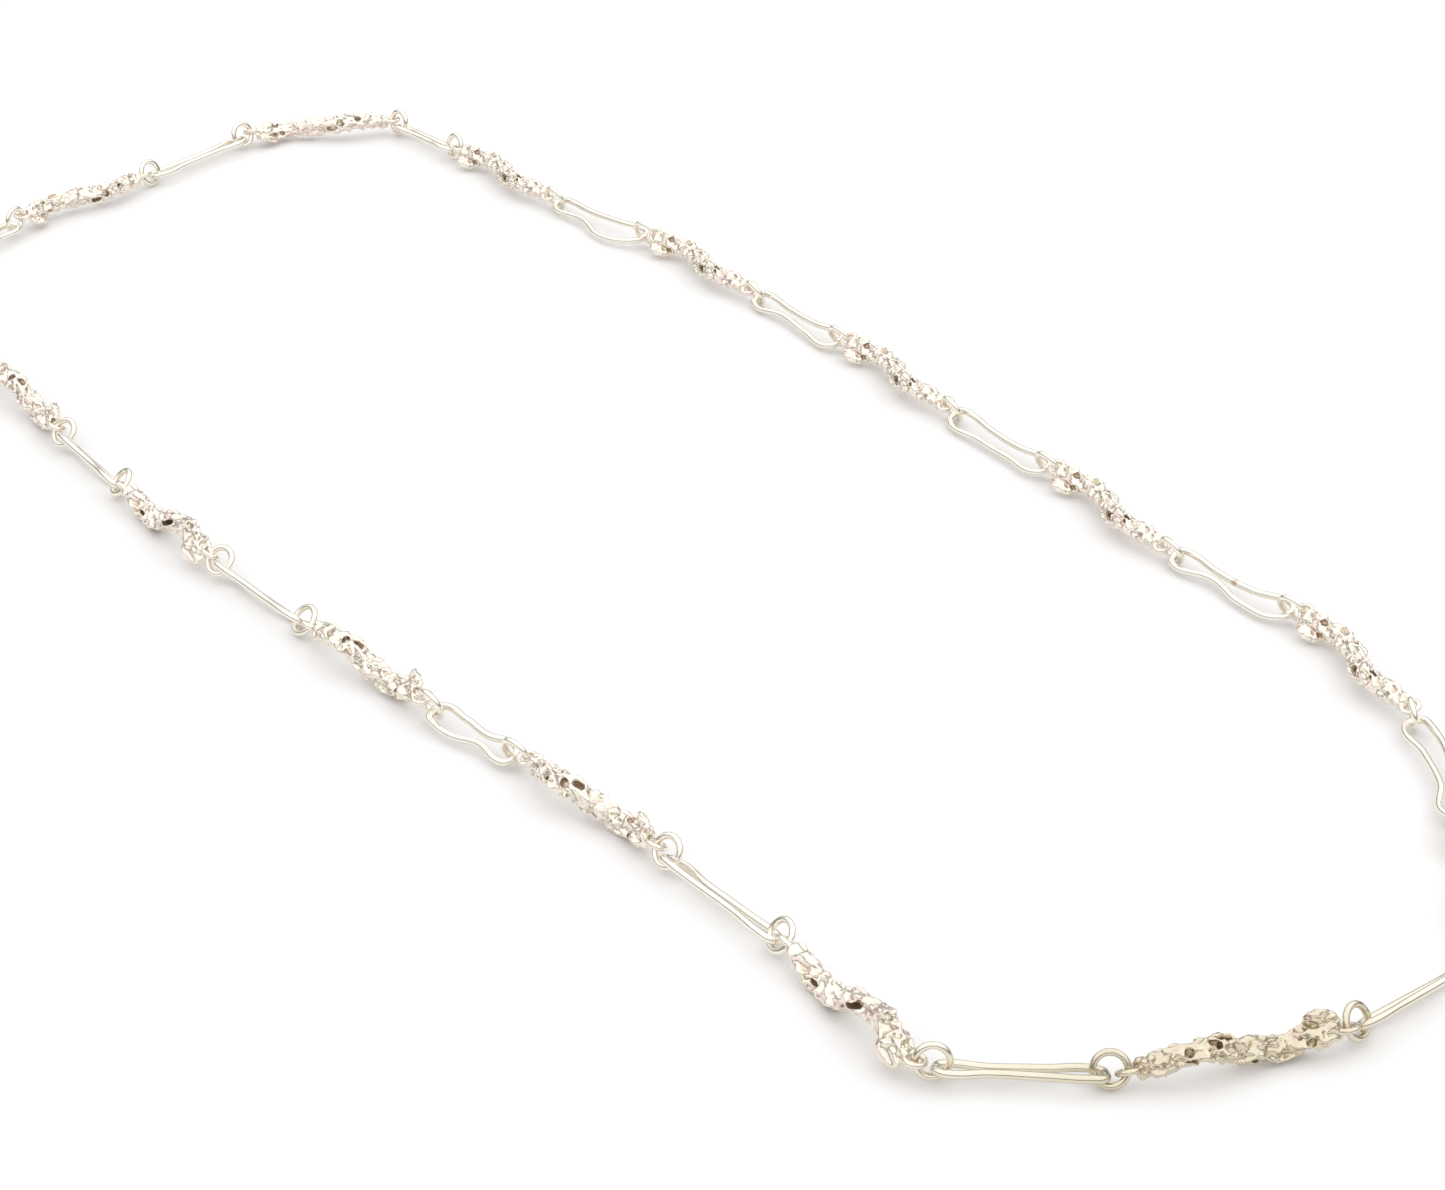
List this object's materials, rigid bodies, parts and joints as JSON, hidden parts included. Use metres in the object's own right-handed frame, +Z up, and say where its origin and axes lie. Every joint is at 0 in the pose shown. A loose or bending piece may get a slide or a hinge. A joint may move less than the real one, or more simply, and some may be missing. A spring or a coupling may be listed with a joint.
{
  "type": "link chain necklace",
  "caption": "Long silver chain of twig-like cast bars and hand-bent wire links joined by jump rings, lying in an open loop.",
  "frame": {"origin": "middle of the laid-out chain's box, on the surface that it lies on", "axes": "+X along the loop's long side, +Y towards its far side, +Z up out of the surface"},
  "size_m": [0.3197, 0.1244, 0.0063],
  "materials": {
    "cast_silver": "cast sterling silver, crumpled and softly tumbled, with ochre tarnish left in the pits",
    "wire_silver": "drawn sterling silver wire, bent by hand and polished, faintly yellowed"
  },
  "bodies": {
    "root": {"cast_bar_01": "cast_silver", "cast_bar_02": "cast_silver", "cast_bar_03": "cast_silver", "cast_bar_04": "cast_silver", "cast_bar_05": "cast_silver", "cast_bar_06": "cast_silver", "cast_bar_07": "cast_silver", "cast_bar_08": "cast_silver", "cast_bar_09": "cast_silver", "cast_bar_10": "cast_silver", "cast_bar_11": "cast_silver", "cast_bar_12": "cast_silver", "cast_bar_13": "cast_silver", "cast_bar_14": "cast_silver", "cast_bar_15": "cast_silver", "wire_link_01": "wire_silver", "wire_link_02": "wire_silver", "wire_link_03": "wire_silver", "wire_link_04": "wire_silver", "wire_link_05": "wire_silver", "wire_link_06": "wire_silver", "wire_link_07": "wire_silver", "wire_link_08": "wire_silver", "wire_link_09": "wire_silver", "wire_link_10": "wire_silver", "wire_link_11": "wire_silver", "wire_link_12": "wire_silver", "wire_link_13": "wire_silver", "wire_link_14": "wire_silver", "wire_link_15": "wire_silver", "jump_rings_far": "wire_silver", "jump_rings_near": "wire_silver"}
  },
  "joints": []
}
